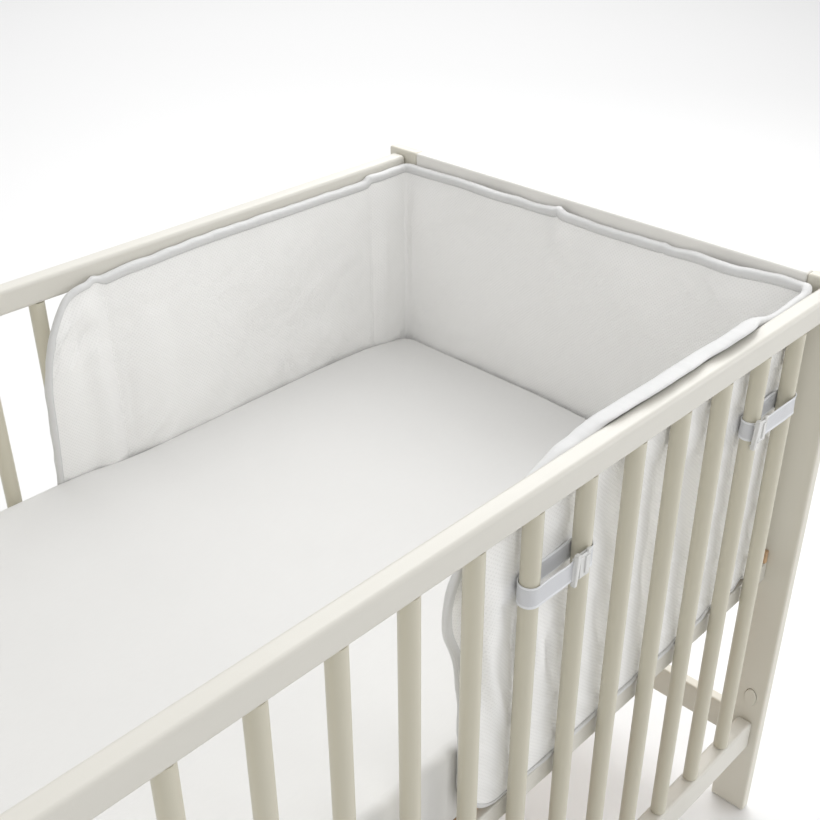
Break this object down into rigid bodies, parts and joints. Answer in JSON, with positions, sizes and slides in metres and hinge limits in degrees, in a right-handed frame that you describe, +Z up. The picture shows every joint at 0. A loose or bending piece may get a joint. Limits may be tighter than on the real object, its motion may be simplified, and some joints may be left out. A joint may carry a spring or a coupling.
{
  "type": "crib bumper on crib",
  "caption": "Padded mesh crib bumper with a satin binding, standing inside a painted wooden crib around the mattress and strapped to the spindles with clips.",
  "frame": {"origin": "on the floor, under the middle of the crib's outline", "axes": "+X along the crib towards the head end, which the bumper wraps; +Y to the far long side; +Z up"},
  "size_m": [1.242, 0.68, 0.802],
  "materials": {
    "spacer_mesh": "white padded spacer mesh, matt, fine open weave",
    "satin_binding": "white satin tape with a soft sheen",
    "webbing": "white woven webbing, matt",
    "white_plastic": "white moulded plastic, glossy",
    "fitted_sheet": "white cotton sheet, matt",
    "off_white_paint": "wood under a warm off-white satin paint",
    "raw_pine": "unpainted pine, matt"
  },
  "bodies": {
    "root": {"bumper": "spacer_mesh", "binding": "satin_binding", "strap_near_1": "webbing", "clip_near_1": "white_plastic", "strap_near_2": "webbing", "clip_near_2": "white_plastic", "strap_far_1": "webbing", "clip_far_1": "white_plastic", "strap_far_2": "webbing", "clip_far_2": "white_plastic", "mattress": "fitted_sheet", "slat_base": "raw_pine", "base_rail_near": "off_white_paint", "top_rail_near": "off_white_paint", "bottom_rail_near": "off_white_paint", "base_rail_far": "off_white_paint", "top_rail_far": "off_white_paint", "bottom_rail_far": "off_white_paint", "head_panel": "off_white_paint", "head_crossbar": "off_white_paint", "head_leg_near": "off_white_paint", "head_leg_far": "off_white_paint", "foot_panel": "off_white_paint", "foot_crossbar": "off_white_paint", "foot_leg_near": "off_white_paint", "foot_leg_far": "off_white_paint", "spindle_near_01": "off_white_paint", "spindle_near_02": "off_white_paint", "spindle_near_03": "off_white_paint", "spindle_near_04": "off_white_paint", "spindle_near_05": "off_white_paint", "spindle_near_06": "off_white_paint", "spindle_near_07": "off_white_paint", "spindle_near_08": "off_white_paint", "spindle_near_09": "off_white_paint", "spindle_near_10": "off_white_paint", "spindle_near_11": "off_white_paint", "spindle_near_12": "off_white_paint", "spindle_near_13": "off_white_paint", "spindle_near_14": "off_white_paint", "spindle_near_15": "off_white_paint", "spindle_near_16": "off_white_paint", "spindle_far_01": "off_white_paint", "spindle_far_02": "off_white_paint", "spindle_far_03": "off_white_paint", "spindle_far_04": "off_white_paint", "spindle_far_05": "off_white_paint", "spindle_far_06": "off_white_paint", "spindle_far_07": "off_white_paint", "spindle_far_08": "off_white_paint", "spindle_far_09": "off_white_paint", "spindle_far_10": "off_white_paint", "spindle_far_11": "off_white_paint", "spindle_far_12": "off_white_paint", "spindle_far_13": "off_white_paint", "spindle_far_14": "off_white_paint", "spindle_far_15": "off_white_paint", "spindle_far_16": "off_white_paint"}
  },
  "joints": []
}
